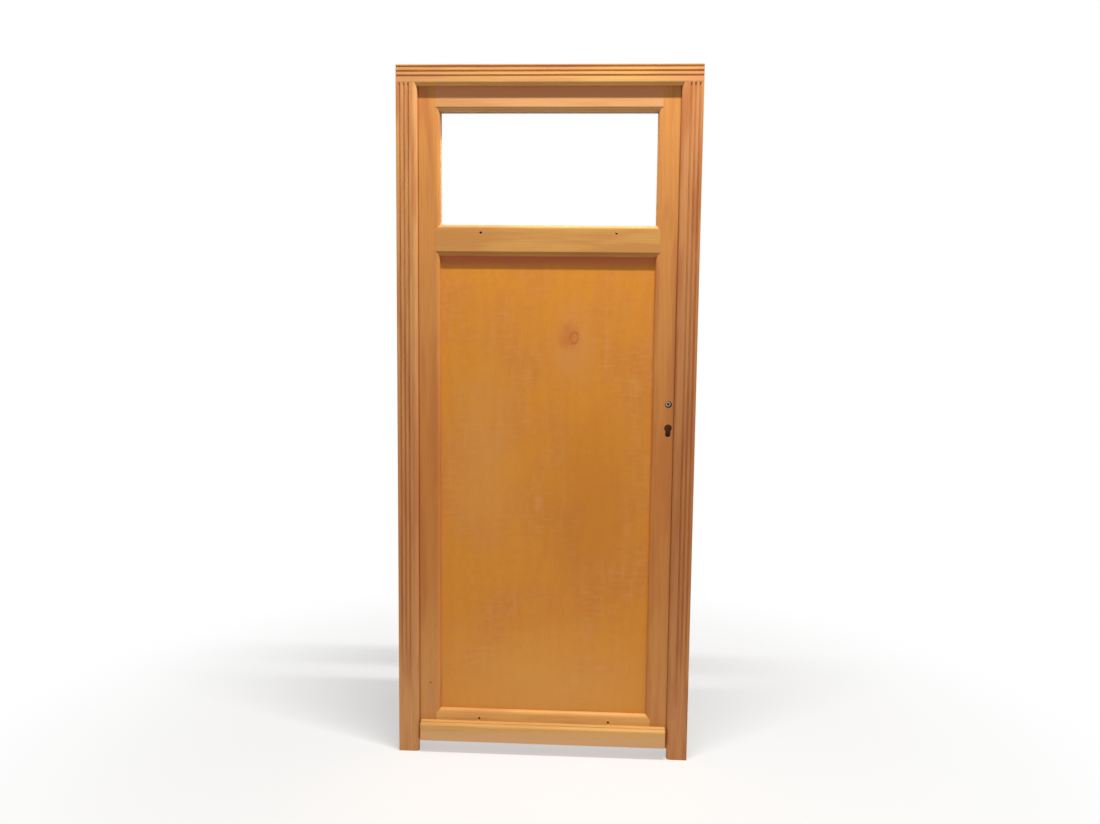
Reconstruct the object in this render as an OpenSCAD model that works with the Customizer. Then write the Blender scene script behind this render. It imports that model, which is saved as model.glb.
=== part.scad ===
// Glazed wooden back door, hung in its reeded timber frame.
// X runs across the doorway, Y from the outer face inwards, and Z up.
// The origin is at floor level, midway across the width and the depth of the frame.

/* [Frame] */
// Overall width across both posts
frame_w = 912; // [800:1:1100]
// Overall height from the feet to the top of the head
frame_h = 2125; // [1950:1:2400]
// Width of the face of each post
post_w = 63.5; // [60:0.5:80]
// Height of the face of the head
head_w = 60; // [58:0.5:80]
// Depth from the face of the frame back to the face of the door
reveal = 16; // [15:1:40]
// Radius of the rounded inner arris
arris_r = 12; // [6:1:12]
// Width of door hidden behind the posts and the head
lap = 12.5; // [11:0.5:16]
// Clearance round the edges of the door
edge_clear = 3; // [2.5:0.1:4]
// Clearance between the door and the stop it closes against
stop_clear = 2; // [1.5:0.1:3]
// Length of the tenon on top of each post
tenon_l = 30; // [15:1:36]
// Thickness of that tenon
tenon_t = 16; // [10:1:20]

/* [Reeding] */
// Number of grooves along the face
groove_count = 3; // [1:1:3]
// Distance of the first groove of a post from its outer edge
groove_first = 11; // [7:0.5:12]
// Distance of the first groove of the head from its top
head_groove_first = 5.5; // [5:0.5:11]
// Spacing of the grooves
groove_pitch = 13; // [10:0.5:14]
// Radius of the bottom of a groove
groove_r = 2.8; // [2:0.1:3.5]
// Depth of a groove
groove_depth = 4; // [2:0.1:5]
// Height above the floor at which the grooves of a post run out
groove_lift = 200; // [60:10:600]
// Length over which they grow shallower towards that height
groove_run = 250; // [100:10:400]

/* [Seal] */
// Width of the rubber seal
seal_w = 4; // [3:0.5:5]
// Depth of the groove that holds the seal
seal_groove = 5; // [4:0.5:6]

/* [Door] */
// Thickness of the door
leaf_t = 46; // [44:1:60]
// Height of the lower edge of the door above the feet of the posts
leaf_lift = 30; // [20:1:60]
// Width of the stiles, from the edge of the door to the glass
stile_w = 79; // [76:1:110]
// Height of the top rail
top_rail_h = 84.5; // [76:0.5:130]
// Height of the glass between its rails
glass_h = 333.5; // [200:0.5:500]
// Height of the middle rail
mid_rail_h = 93; // [86:1:160]
// Height of the bottom rail
bottom_rail_h = 106; // [104:1:220]
// Radius of the dowels that join the rails to the stiles
dowel_r = 6; // [5:0.5:7]
// Length of those dowels
dowel_l = 90; // [60:1:96]

/* [Moulding] */
// Radius of the rounded moulding round the glass and the panel
ovolo_r = 12; // [8:0.5:12.5]
// Width of the ledge beside the moulding
quirk_w = 1; // [0.6:0.1:2]
// Depth of that ledge below the face
quirk_d = 1; // [0.8:0.1:1.5]
// Depth of the moulding from the face to the glass or the panel
sticking_d = 15; // [15:0.5:24]
// Width of the rebate behind the moulding
rebate_w = 15; // [14:0.5:18]

/* [Glazing] */
// Thickness of each pane
pane_t = 4; // [3:0.5:5]
// Width of the space between the panes
cavity = 6; // [6:0.5:7]
// Thickness of the tape that beds the glass
tape_t = 2; // [1:0.5:3]
// Clearance round the edge of the glass
glass_clear = 3; // [2:0.5:4]
// Radius of the rounded edge of the beads
bead_r = 6; // [3:0.5:7]
// Radius of the pins that hold the beads
bead_pin_r = 0.9; // [0.7:0.1:1.2]

/* [Panel] */
// Thickness of the panel
panel_t = 14; // [10:1:15]
// Clearance round the edge of the panel
panel_clear = 2; // [1:0.5:3]

/* [Drainage] */
// Radius of the weep holes
weep_r = 4; // [2:0.1:4.5]
// Distance between the two weep holes of a rail
weep_span = 410; // [200:1:500]
// How far their middle lies towards the lock
weep_shift = 3; // [0:0.5:20]
// Depth of the upper pair below the edge of the glass
weep_drop = 24; // [20:1:30]
// Depth of the lower pair below the edge of the panel
low_weep_drop = 29; // [22:1:30]

/* [Weatherboard] */
// How far the weatherboard stands out from the door
board_out = 24; // [22:1:34]
// Height of the weatherboard at the door
board_h = 60; // [55:1:63]
// Height of its underside above the lower edge of the door
board_lift = 10; // [6:1:11]
// Clearance between its ends and the posts
board_clear = 5.5; // [5:0.5:12]
// Radius of its rounded nose
nose_r = 8; // [5:0.5:10]
// Depth of the tongue that houses it in the door
tongue_d = 8; // [5:0.5:9]

/* [Hinges] */
// Height of a hinge
hinge_h = 89; // [76:1:110]
// Width of a hinge leaf on the wood
hinge_w = 28; // [24:1:32]
// Thickness of a hinge leaf
hinge_t = 2.5; // [2:0.1:3]
// Radius of the knuckle
knuckle_r = 6; // [5.5:0.1:7]
// Radius of the hinge pin
pin_r = 3; // [2.5:0.1:3.5]
// Distance from the top of the door to the middle of the top hinge
hinge_top = 200; // [150:1:260]
// Distance from the bottom of the door to the middle of the bottom hinge
hinge_bottom = 230; // [180:1:300]
// Length of the hinge screws
screw_l = 28; // [20:1:32]
// Radius of their shanks
screw_r = 1.8; // [1.5:0.1:2]

/* [Lock] */
// Height of the spindle above the feet of the posts
spindle_z = 1122; // [1000:1:1180]
// Distance from the edge of the door to the spindle
backset = 30; // [28:1:35]
// Distance from the spindle down to the key cylinder
centres = 72; // [72:1:85]
// Radius of the hole in the stile round the spindle
spindle_hole_r = 10.5; // [9:0.1:12]
// Side of the square hole that takes the spindle
spindle_sq = 8; // [7:0.1:9]
// Radius of the head of the cylinder hole in the stile
key_hole_r = 11.7; // [10:0.1:13]
// Half the width of the lower part of the cylinder hole
key_leg_r = 8.2; // [6:0.1:9]
// Length of the lock's front plate
forend_l = 235; // [210:1:260]
// Width of the front plate
forend_w = 20; // [18:1:22]
// Thickness of the front plate
forend_t = 3; // [2:0.1:4]
// Depth of the lock body behind the front plate
lock_d = 50; // [49:0.5:51]
// Thickness of the lock body
lock_t = 14; // [13:0.5:16]
// Throw of the latch
latch_throw = 11; // [9:0.5:12]
// Thickness of the strike plate
strike_t = 2.5; // [2:0.1:3]
// Length of the strike plate
strike_l = 175; // [165:1:210]

/* [Hidden] */
$fn = 48;
// Oversize of cutting shapes beyond the face they cut
over = 1;
// Fit between pieces that are fixed together
fit = 0.15;
// Fit between pieces that slide or turn on each other
slack = 0.3;

// Depth of the frame: the inner face of the door lies flush with it
frame_d = reveal + leaf_t;
front_y = -frame_d / 2;
back_y = frame_d / 2;
leaf_y = front_y + reveal;
stop_d = reveal - stop_clear;
mid_y = leaf_y + leaf_t / 2;
rebate_side = lap + edge_clear;

// Clear opening, then the edges of the door and of the rebate it closes into
open_x = frame_w / 2 - post_w;
soffit_z = frame_h - head_w;
leaf_x = open_x + lap;
leaf_top = soffit_z + lap;
leaf_h = leaf_top - leaf_lift;
rebate_x = leaf_x + edge_clear;
rebate_z = leaf_top + edge_clear;
cope_h = 0.75 * arris_r;
tenon_inset = 10;

// Sight lines of the glass and the panel
sight_x = leaf_x - stile_w;
wall_x = sight_x + rebate_w;
glass_top = leaf_top - top_rail_h;
glass_low = glass_top - glass_h;
panel_top = glass_low - mid_rail_h;
panel_low = leaf_lift + bottom_rail_h;
bed_y = leaf_y + sticking_d;
mould_w = ovolo_r + quirk_w;
dowel_back = 1;

// Glass unit and beads, counted back from the bed of the rebate
outer_y = bed_y + tape_t;
inner_y = outer_y + pane_t + cavity;
glass_back = inner_y + pane_t;
glass_bead_d = back_y - glass_back;
panel_bead_d = back_y - bed_y - panel_t;
pane_x = wall_x - glass_clear;
pane_low = glass_low - rebate_w + glass_clear;
pane_top = glass_top + rebate_w - glass_clear;
tape_w = rebate_w - glass_clear;
spacer_w = 8;
spacer_in = 2;
block_l = 60;
block_x = 0.8 * sight_x;
bead_pin_l = 22;
bead_pin_end = 60;

// Weatherboard outline, from the back edge of its top to the nose
board_z = leaf_lift + board_lift;
board_x = open_x - board_clear;
board_fall = 2.5;
board_step = 1.6;
board_nose_fall = 1;
nose_top = board_h - board_fall - board_step - board_nose_fall;
drip_r = 3;
tongue_h = 12;
tongue_z = board_h * 0.4;

// Hinge pin, midway in the clearance between the door and the post
knuckle_off = 0.6;
pin_back = knuckle_r + knuckle_off;
pin_x = -(leaf_x + edge_clear / 2);
pin_y = back_y + pin_back;
knuckle_l = hinge_h / 5;
pin_fit = 0.06;
tip_r = 4.5;
tip_h = 4;
hinge_zs = [
  leaf_top - hinge_top,
  (leaf_top - hinge_top + leaf_lift + hinge_bottom) / 2,
  leaf_lift + hinge_bottom
];
// Screw places on a hinge leaf, as shares of its width and height
hinge_screw_at = [[0.3, 0.39], [0.7, 0.14], [0.3, -0.14], [0.7, -0.39]];
head_r = 3.6;
head_h = 1.8;
screw_tip = 4;
screw_point_r = 0.4;

// Lock: spindle, cylinder, body and the pieces inside it
spindle_x = leaf_x - backset;
key_z = spindle_z - centres;
key_drop = 20.8;
forend_x = leaf_x - forend_t;
lock_x = forend_x - lock_d;
lock_y = mid_y - lock_t / 2;
lock_above = 36;
lock_below = 43;
lock_top = spindle_z + lock_above;
lock_low = key_z - lock_below;
lock_z = (lock_top + lock_low) / 2;
lock_h = lock_top - lock_low;
lock_wall = 1.5;
mortise_clear = 0.5;
forend_screw_end = 11;
forend_screw_at = forend_l / 2 - forend_screw_end;
cylinder_r = 8.6;
cylinder_leg_r = 5.2;
cylinder_drop = 19.4;
cylinder_screw_drop = 12;
cylinder_screw_z = key_z - cylinder_screw_drop;
cylinder_screw_r = 2.7;
hub_r = 6.9;
cam_r = 12;
arm_w = 5;
arm_r = 18;
arm_front = 5;
arm_y = mid_y - arm_front;
arm_t = 4.5;
bolt_t = lock_t - 2 * lock_wall - 2 * slack;
bolt_y = mid_y - bolt_t / 2;
latch_rise = 5;
latch_z = spindle_z + latch_rise;
latch_h = 27;
latch_hidden = 2.5;
latch_back = forend_x - latch_hidden;
latch_tip = leaf_x + latch_throw;
latch_nib = 2;
tail_clear = 1.5;
tail_z = spindle_z + cam_r + tail_clear;
tail_h = 6;
tail_gap = 1;
tail_y = arm_y + arm_t + tail_gap;
tail_t = mid_y + bolt_t / 2 - tail_y;
lug_w = 3;
lug_x = spindle_x - arm_w / 2 - 2 * slack - lug_w;
spring_r = 2;
wire_r = 0.35;
spring_turns = 6;
spring_sides = 6;
spring_steps = 14;
spring_start = lock_x + lock_wall + wire_r;
spring_l = lug_x - spring_start - wire_r;
bolt_h = 28;
bolt_rise = 10;
bolt_low = key_z + bolt_rise;
bolt_sunk = 0.5;
bolt_tip = leaf_x - bolt_sunk;
bolt_l = 25;
bolt_tail_l = 20;
bolt_tail_t = 4;
talon_w = 9;
talon_h = 8;

// Strike plate and the pockets behind it
strike_w = 24;
strike_z = lock_z;
strike_clear = 1;
pocket_spare = 2;
latch_pocket = latch_throw + pocket_spare;
bolt_pocket = 24;
strike_screw_end = 9;
strike_screw_at = strike_l / 2 - strike_screw_end;

frame_wood = "#c98f56";
leaf_wood = "#cc8f50";
panel_wood = "#cf913f";
bead_wood = "#c98b4c";
dowel_wood = "#d9b88a";
steel = "#b9bbbd";
dark_steel = "#8d9093";
zinc = "#c7c2b4";
glass_tint = "#dce9e6";
rubber = "#2b2724";

// A flat section run along X: its x becomes Z and its y stays Y
module run_x(length) {
  rotate([0, -90, 0]) linear_extrude(length, center = true) children();
}

// A piece and its mirror image across the middle of the doorway
module both_sides() {
  children();
  mirror([1, 0, 0]) children();
}

// A slot with round ends, its long way along x
module stadium(length, width) {
  square([length - width, width], center = true);
  for (side = [-1, 1]) translate([side * (length - width) / 2, 0]) circle(width / 2);
}

// A ring of even width, standing in the XZ plane and running back in Y
module ring(half_x, low, top, width, depth) {
  difference() {
    translate([-half_x, 0, low]) cube([2 * half_x, depth, top - low]);
    translate([-half_x + width, -over, low + width])
      cube([2 * (half_x - width), depth + 2 * over, top - low - 2 * width]);
  }
}

// A countersunk wood screw along +X, its head flush at the origin
module wood_screw(length, grow) {
  rotate([0, 90, 0]) {
    cylinder(h = head_h, r1 = head_r + grow, r2 = screw_r + grow);
    cylinder(h = length - screw_tip, r = screw_r + grow);
    translate([0, 0, length - screw_tip])
      cylinder(h = screw_tip, r1 = screw_r + grow, r2 = screw_point_r);
  }
}

// Outline of posts and head before reeding: x from the outer edge inwards, y from the face back
module bar_outline(width) {
  difference() {
    square([width, frame_d]);
    translate([width - rebate_side, stop_d]) square([rebate_side + over, frame_d]);
    arris_cut(width);
  }
}

// That outline with the groove for the seal in its stop
module frame_section(width) {
  difference() {
    bar_outline(width);
    translate([width - lap / 2 - seal_w / 2, stop_d - seal_groove])
      square([seal_w, seal_groove + over]);
  }
}

// The part of a post's section between two depths behind the face
module section_slice(near, far) {
  intersection() {
    frame_section(post_w);
    translate([0, near]) square([post_w, far - near]);
  }
}

// What the rounded inner arris takes off the corner
module arris_cut(width) {
  translate([width - arris_r, arris_r]) difference() {
    translate([0, -arris_r - over]) square(arris_r + over);
    circle(arris_r);
  }
}

// Round-bottomed grooves that leave reeds between them
module groove_cuts(first) {
  for (i = [0 : groove_count - 1])
    translate([first + i * groove_pitch, groove_depth - groove_r]) {
      circle(groove_r);
      translate([-groove_r, -groove_depth]) square([2 * groove_r, groove_depth]);
    }
}

// Seal: a stem in the groove and a round lip just short of the closed door
module seal_section(width) {
  translate([width - lap / 2, stop_d]) {
    translate([-seal_w / 2 + fit, -seal_groove]) square([seal_w - 2 * fit, seal_groove]);
    intersection() {
      circle(stop_clear - slack);
      translate([-seal_w / 2 + fit, -over]) square([seal_w - 2 * fit, stop_clear + over]);
    }
  }
}

// Runs a section along the top of the frame, over both posts
module along_head(length) {
  translate([0, front_y, frame_h]) mirror([0, 0, 1]) run_x(length) children();
}

module tenon(grow) {
  translate([
    -frame_w / 2 + tenon_inset - grow,
    (front_y + stop_d + back_y - tenon_t) / 2 - grow,
    rebate_z - over
  ])
    cube([
      post_w - rebate_side - 2 * (tenon_inset - grow),
      tenon_t + 2 * grow,
      tenon_l + over + grow
    ]);
}

module head() {
  color(frame_wood) difference() {
    along_head(frame_w) difference() {
      frame_section(head_w);
      groove_cuts(head_groove_first);
    }
    both_sides() tenon(fit);
  }
}

// Grooves down the face of a post: straight, then in a long sweep out of the wood above its foot
module post_grooves() {
  straight_z = groove_lift + groove_run;
  sweep_r = (pow(groove_run, 2) + pow(groove_depth, 2)) / (2 * groove_depth);
  sweep_a = asin((groove_run + groove_pitch) / sweep_r);
  translate([0, 0, straight_z]) {
    linear_extrude(soffit_z + cope_h + over - straight_z) groove_cuts(groove_first);
    translate([0, groove_depth - sweep_r, 0]) rotate([-90, 0, 90])
      rotate_extrude(angle = sweep_a) translate([sweep_r - groove_depth, 0]) rotate(-90)
        groove_cuts(groove_first);
  }
}

// A post on the left: coped under the rounded arris of the head, tenoned behind it
module post() {
  difference() {
    translate([-frame_w / 2, front_y, 0]) {
      linear_extrude(soffit_z) frame_section(post_w);
      linear_extrude(soffit_z + cope_h) section_slice(0, arris_r);
      linear_extrude(rebate_z) section_slice(stop_d, frame_d);
    }
    along_head(frame_w + 2 * over) bar_outline(head_w);
    translate([-frame_w / 2, front_y, 0]) post_grooves();
  }
  tenon(0);
}

module hinge_post() {
  color(frame_wood) difference() {
    post();
    for (z = hinge_zs) at_hinge(z) mirror([1, 0, 0]) {
      hinge_housing();
      hinge_screw_set(fit);
    }
  }
}

module lock_post() {
  color(frame_wood) difference() {
    mirror([1, 0, 0]) post();
    translate([rebate_x - over, mid_y - strike_w / 2, strike_z - strike_l / 2])
      cube([strike_t + over, strike_w, strike_l]);
    latch_way(latch_pocket);
    bolt_way(bolt_pocket);
    strike_screw_set(fit);
  }
}

// Way of the latch through the strike plate and into the post
module latch_way(depth) {
  translate([rebate_x - over, bolt_y - strike_clear, latch_z - latch_h / 2 - strike_clear])
    cube([depth + over, bolt_t + 2 * strike_clear, latch_h + 2 * strike_clear]);
}

// Way of the dead bolt through the strike plate and into the post
module bolt_way(depth) {
  translate([rebate_x - over, bolt_y - strike_clear, bolt_low - strike_clear])
    cube([depth + over, bolt_t + 2 * strike_clear, bolt_h + 2 * strike_clear]);
}

module strike_screw_set(grow) {
  for (side = [-1, 1])
    translate([rebate_x, mid_y, strike_z + side * strike_screw_at]) wood_screw(screw_l, grow);
}

module strike_plate() {
  color(steel) difference() {
    translate([rebate_x, mid_y - strike_w / 2, strike_z - strike_l / 2])
      cube([strike_t, strike_w, strike_l]);
    latch_way(latch_pocket);
    bolt_way(bolt_pocket);
    strike_screw_set(fit);
  }
}

module strike_screws() {
  color(zinc) strike_screw_set(0);
}

module side_seal() {
  translate([-frame_w / 2, front_y, leaf_lift])
    linear_extrude(soffit_z - leaf_lift) seal_section(post_w);
}

module hinge_side_seal() {
  color(rubber) side_seal();
}

module lock_side_seal() {
  color(rubber) mirror([1, 0, 0]) side_seal();
}

module head_seal() {
  color(rubber) along_head(2 * leaf_x) seal_section(head_w);
}

// Hinge parts are drawn with the pin at the origin and the door's side along +X
module at_hinge(z) {
  translate([pin_x, pin_y, z]) children();
}

module hinge_plate() {
  translate([edge_clear / 2, -pin_back - hinge_w, -hinge_h / 2])
    cube([hinge_t, pin_back + hinge_w, hinge_h]);
}

// Housing for a hinge leaf in the edge of the wood
module hinge_housing() {
  translate([edge_clear / 2 - over, -pin_back - hinge_w, -hinge_h / 2])
    cube([hinge_t + over, hinge_w + over, hinge_h]);
}

module hinge_screw_set(grow) {
  for (at = hinge_screw_at)
    translate([edge_clear / 2, -pin_back - at[0] * hinge_w, at[1] * hinge_h])
      wood_screw(screw_l, grow);
}

// Knuckles by their places, counted from below
module knuckles(places, radius, shorten) {
  for (i = places)
    translate([0, 0, (i - 2.5) * knuckle_l + shorten / 2])
      cylinder(h = knuckle_l - shorten, r = radius);
}

// A hinge leaf: plate, its own knuckles, and room for those of the other leaf
module hinge_leaf(own, other) {
  difference() {
    union() {
      difference() {
        hinge_plate();
        knuckles(other, knuckle_r + slack, 0);
      }
      knuckles(own, knuckle_r, slack);
    }
    cylinder(h = 2 * hinge_h, r = pin_r + pin_fit, center = true);
    hinge_screw_set(fit);
  }
}

module hinge_frame_leaf(z) {
  color(steel) at_hinge(z) mirror([1, 0, 0]) hinge_leaf([0, 2, 4], [1, 3]);
}

module hinge_door_leaf(z) {
  color(steel) at_hinge(z) hinge_leaf([1, 3], [0, 2, 4]);
}

// Loose pin with a domed tip at each end
module hinge_pin(z) {
  color(dark_steel) at_hinge(z) {
    cylinder(h = hinge_h, r = pin_r, center = true);
    for (side = [0, 1]) mirror([0, 0, side]) translate([0, 0, hinge_h / 2]) intersection() {
      translate([0, 0, tip_h - tip_r]) sphere(tip_r);
      cylinder(h = tip_h, r = tip_r);
    }
  }
}

module hinge_frame_screws() {
  color(zinc) for (z = hinge_zs) at_hinge(z) mirror([1, 0, 0]) hinge_screw_set(0);
}

module hinge_door_screws() {
  color(zinc) for (z = hinge_zs) at_hinge(z) hinge_screw_set(0);
}

// Section of stiles and rails: x from the sight line outwards, y from the face back
module stile_section(width) {
  difference() {
    square([width, leaf_t]);
    sticking_cut();
  }
}

// What the moulding and the rebate behind it take off one edge
module sticking_cut() {
  difference() {
    translate([-over, -over]) square([ovolo_r + over, quirk_d + ovolo_r + over]);
    translate([ovolo_r, quirk_d + ovolo_r]) circle(ovolo_r);
  }
  translate([0, -over]) square([mould_w, quirk_d + over]);
  translate([-over, sticking_d]) square([rebate_w + over, leaf_t]);
}

module stile_bar() {
  translate([-sight_x, leaf_y, leaf_lift]) mirror([1, 0, 0])
    linear_extrude(leaf_h) stile_section(stile_w);
}

// Heights of the two dowels at each end of the three rails
function dowel_pair(low, top) = [low + 0.25 * (top - low), low + 0.75 * (top - low)];
dowel_zs = concat(
  dowel_pair(glass_top + rebate_w, leaf_top),
  dowel_pair(panel_top + rebate_w, glass_low - rebate_w),
  dowel_pair(leaf_lift, panel_low - rebate_w)
);

module dowel_set(grow) {
  for (z = dowel_zs) translate([-wall_x, mid_y + dowel_back, z]) rotate([0, 90, 0])
    cylinder(h = dowel_l + 2 * grow, r = dowel_r + grow, center = true);
}

module rail_dowels() {
  color(dowel_wood) both_sides() dowel_set(0);
}

// Housing for the tongue of the weatherboard
module tongue(grow) {
  translate([-board_x - grow, leaf_y - over, board_z + tongue_z - grow])
    cube([2 * (board_x + grow), tongue_d + over + grow, tongue_h + 2 * grow]);
}

module hinge_stile() {
  color(leaf_wood) difference() {
    stile_bar();
    dowel_set(fit);
    tongue(fit);
    for (z = hinge_zs) at_hinge(z) {
      hinge_housing();
      hinge_screw_set(fit);
    }
    bead_pin_set(pin_fit);
  }
}

module lock_stile() {
  color(leaf_wood) difference() {
    mirror([1, 0, 0]) stile_bar();
    mirror([1, 0, 0]) dowel_set(fit);
    tongue(fit);
    forend_blank(forend_t + over, fit);
    lock_mortise();
    translate([spindle_x, mid_y, spindle_z]) rotate([90, 0, 0])
      cylinder(h = leaf_t, r = spindle_hole_r);
    translate([0, mid_y, 0]) rotate([90, 0, 0])
      linear_extrude(leaf_t) key_outline(key_hole_r, key_leg_r, key_drop);
    forend_screw_set(fit);
    bead_pin_set(pin_fit);
  }
}

// A rail between the stiles, its ends coped over their moulding
module coped() {
  difference() {
    children();
    both_sides() stile_bar();
    both_sides() dowel_set(fit);
    bead_pin_set(pin_fit);
  }
}

module top_rail() {
  color(leaf_wood) coped()
    translate([0, leaf_y, glass_top]) run_x(2 * wall_x) stile_section(top_rail_h);
}

module middle_rail() {
  color(leaf_wood) difference() {
    coped() translate([0, leaf_y, panel_top]) run_x(2 * wall_x) difference() {
      stile_section(mid_rail_h);
      translate([mid_rail_h, 0]) mirror([1, 0]) sticking_cut();
    }
    weep_pair(glass_low, weep_drop);
  }
}

module bottom_rail() {
  color(leaf_wood) difference() {
    coped() translate([0, leaf_y, panel_low]) mirror([0, 0, 1])
      run_x(2 * wall_x) stile_section(bottom_rail_h);
    tongue(fit);
    weep_pair(panel_low, low_weep_drop);
  }
}

// Two holes that rise from the face of a rail into the floor of its rebate
module weep_pair(sight_z, drop) {
  rise = drop - rebate_w + weep_r / 2;
  run = sticking_d + weep_r;
  for (side = [-1, 1])
    translate([weep_shift + side * weep_span / 2, leaf_y, sight_z - drop])
      rotate([-90 + atan2(rise, run), 0, 0])
        translate([0, 0, -weep_r]) cylinder(h = norm([rise, run]) + 2 * weep_r, r = weep_r);
}

module door_panel() {
  color(panel_wood)
    translate([-wall_x + panel_clear, bed_y, panel_low - rebate_w + panel_clear])
      cube([
        2 * (wall_x - panel_clear),
        panel_t,
        panel_top - panel_low + 2 * (rebate_w - panel_clear)
      ]);
}

// A mitred bead along X: its outer side on the rebate at Z = 0, its round edge at the back
module bead(length, depth) {
  intersection() {
    run_x(length) difference() {
      square([rebate_w, depth]);
      translate([rebate_w - bead_r, depth - bead_r]) difference() {
        square(bead_r + over);
        circle(bead_r);
      }
    }
    translate([0, depth + over, 0]) rotate([90, 0, 0]) linear_extrude(depth + 2 * over)
      polygon([
        [-length / 2, 0],
        [length / 2, 0],
        [length / 2 - rebate_w, rebate_w],
        [-length / 2 + rebate_w, rebate_w]
      ]);
  }
}

module low_bead(low, depth) {
  translate([0, back_y - depth, low - rebate_w]) bead(2 * wall_x, depth);
}

module high_bead(top, depth) {
  translate([0, back_y - depth, top + rebate_w]) mirror([0, 0, 1]) bead(2 * wall_x, depth);
}

module left_bead(low, top, depth) {
  translate([-wall_x, back_y - depth, (low + top) / 2]) rotate([0, 90, 0])
    bead(top - low + 2 * rebate_w, depth);
}

// Pins through the four beads of one opening, driven square to the rebate
module pins_round(low, top, y, radius) {
  for (x = [-wall_x + bead_pin_end, 0, wall_x - bead_pin_end]) {
    translate([x, y, low - bead_pin_l]) cylinder(h = bead_pin_l, r = radius);
    translate([x, y, top]) cylinder(h = bead_pin_l, r = radius);
  }
  both_sides() for (z = [low + bead_pin_end, (low + top) / 2, top - bead_pin_end])
    translate([-sight_x, y, z]) rotate([0, -90, 0]) cylinder(h = bead_pin_l, r = radius);
}

module bead_pin_set(grow) {
  pins_round(glass_low, glass_top, back_y - (glass_bead_d + bead_r) / 2, bead_pin_r + grow);
  pins_round(panel_low, panel_top, back_y - (panel_bead_d + bead_r) / 2, bead_pin_r + grow);
}

module bead_pins() {
  color(zinc) bead_pin_set(0);
}

// A bead with its pin holes
module pinned() {
  color(bead_wood) difference() {
    children();
    bead_pin_set(pin_fit);
  }
}

module panel_top_bead() {
  pinned() high_bead(panel_top, panel_bead_d);
}

module panel_bottom_bead() {
  pinned() low_bead(panel_low, panel_bead_d);
}

module panel_left_bead() {
  pinned() left_bead(panel_low, panel_top, panel_bead_d);
}

module panel_right_bead() {
  pinned() mirror([1, 0, 0]) left_bead(panel_low, panel_top, panel_bead_d);
}

module glass_top_bead() {
  pinned() high_bead(glass_top, glass_bead_d);
}

module glass_bottom_bead() {
  pinned() low_bead(glass_low, glass_bead_d);
}

module glass_left_bead() {
  pinned() left_bead(glass_low, glass_top, glass_bead_d);
}

module glass_right_bead() {
  pinned() mirror([1, 0, 0]) left_bead(glass_low, glass_top, glass_bead_d);
}

// Sealed glass unit: two panes held apart by a spacer, bedded on tape
module pane(y) {
  color(glass_tint) translate([-pane_x, y, pane_low])
    cube([2 * pane_x, pane_t, pane_top - pane_low]);
}

module outer_pane() {
  pane(outer_y);
}

module inner_pane() {
  pane(inner_y);
}

module glass_spacer() {
  color(steel) translate([0, outer_y + pane_t, 0])
    ring(pane_x - spacer_in, pane_low + spacer_in, pane_top - spacer_in, spacer_w, cavity);
}

module glazing_tape() {
  color(rubber) translate([0, bed_y, 0]) ring(pane_x, pane_low, pane_top, tape_w, tape_t);
}

// Blocks on the floor of a rebate that carry the glass or the panel
module block_pair(floor_z, y, depth, height) {
  for (side = [-1, 1])
    translate([side * block_x - block_l / 2, y, floor_z]) cube([block_l, depth, height]);
}

module setting_blocks() {
  color(rubber) {
    block_pair(glass_low - rebate_w, outer_y, glass_back - outer_y, glass_clear);
    block_pair(panel_low - rebate_w, bed_y, panel_t, panel_clear);
  }
}

// Section of the weatherboard: x up from its underside, y outwards from the door
module board_section() {
  difference() {
    union() {
      polygon([
        [0, 0],
        [board_h, 0],
        [board_h - board_fall, -board_out / 2],
        [nose_top + board_nose_fall, -board_out / 2],
        [nose_top, nose_r - board_out],
        [nose_top - nose_r, -board_out],
        [0, -board_out]
      ]);
      translate([nose_top - nose_r, nose_r - board_out]) circle(nose_r);
    }
    translate([0, 3 * drip_r - board_out]) circle(drip_r);
  }
}

module weatherboard() {
  color(leaf_wood) {
    translate([0, leaf_y, board_z]) run_x(2 * board_x) board_section();
    tongue(0);
  }
}

// Outline of a profile cylinder in the XZ plane: a round head and a narrower leg below
module key_outline(head_radius, leg_radius, drop) {
  translate([spindle_x, key_z]) {
    circle(head_radius);
    translate([-leg_radius, -drop]) square([2 * leg_radius, drop]);
    translate([0, -drop]) circle(leg_radius);
  }
}

// Front plate of the lock, let into the edge of the door
module forend_blank(depth, grow) {
  translate([forend_x + depth / 2, mid_y, lock_z])
    run_x(depth) stadium(forend_l + 2 * grow, forend_w + 2 * grow);
}

module forend_screw_set(grow) {
  for (side = [-1, 1])
    translate([leaf_x, mid_y, lock_z + side * forend_screw_at])
      mirror([1, 0, 0]) wood_screw(screw_l, grow);
}

module lock_forend() {
  color(steel) difference() {
    forend_blank(forend_t, 0);
    translate([forend_x - over, bolt_y - slack, latch_z - latch_h / 2 - slack])
      cube([forend_t + 2 * over, bolt_t + 2 * slack, latch_h + 2 * slack]);
    translate([forend_x - over, bolt_y - slack, bolt_low - slack])
      cube([forend_t + 2 * over, bolt_t + 2 * slack, bolt_h + 2 * slack]);
    translate([leaf_x, mid_y, cylinder_screw_z]) rotate([0, 90, 0])
      cylinder(h = 3 * forend_t, r = cylinder_screw_r, center = true);
    forend_screw_set(fit);
  }
}

module forend_screws() {
  color(zinc) forend_screw_set(0);
}

// Space cut in the stile for the lock body
module lock_mortise() {
  translate([lock_x - mortise_clear, lock_y - mortise_clear, lock_low - mortise_clear])
    cube([lock_d + mortise_clear + over, lock_t + 2 * mortise_clear, lock_h + 2 * mortise_clear]);
}

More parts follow.
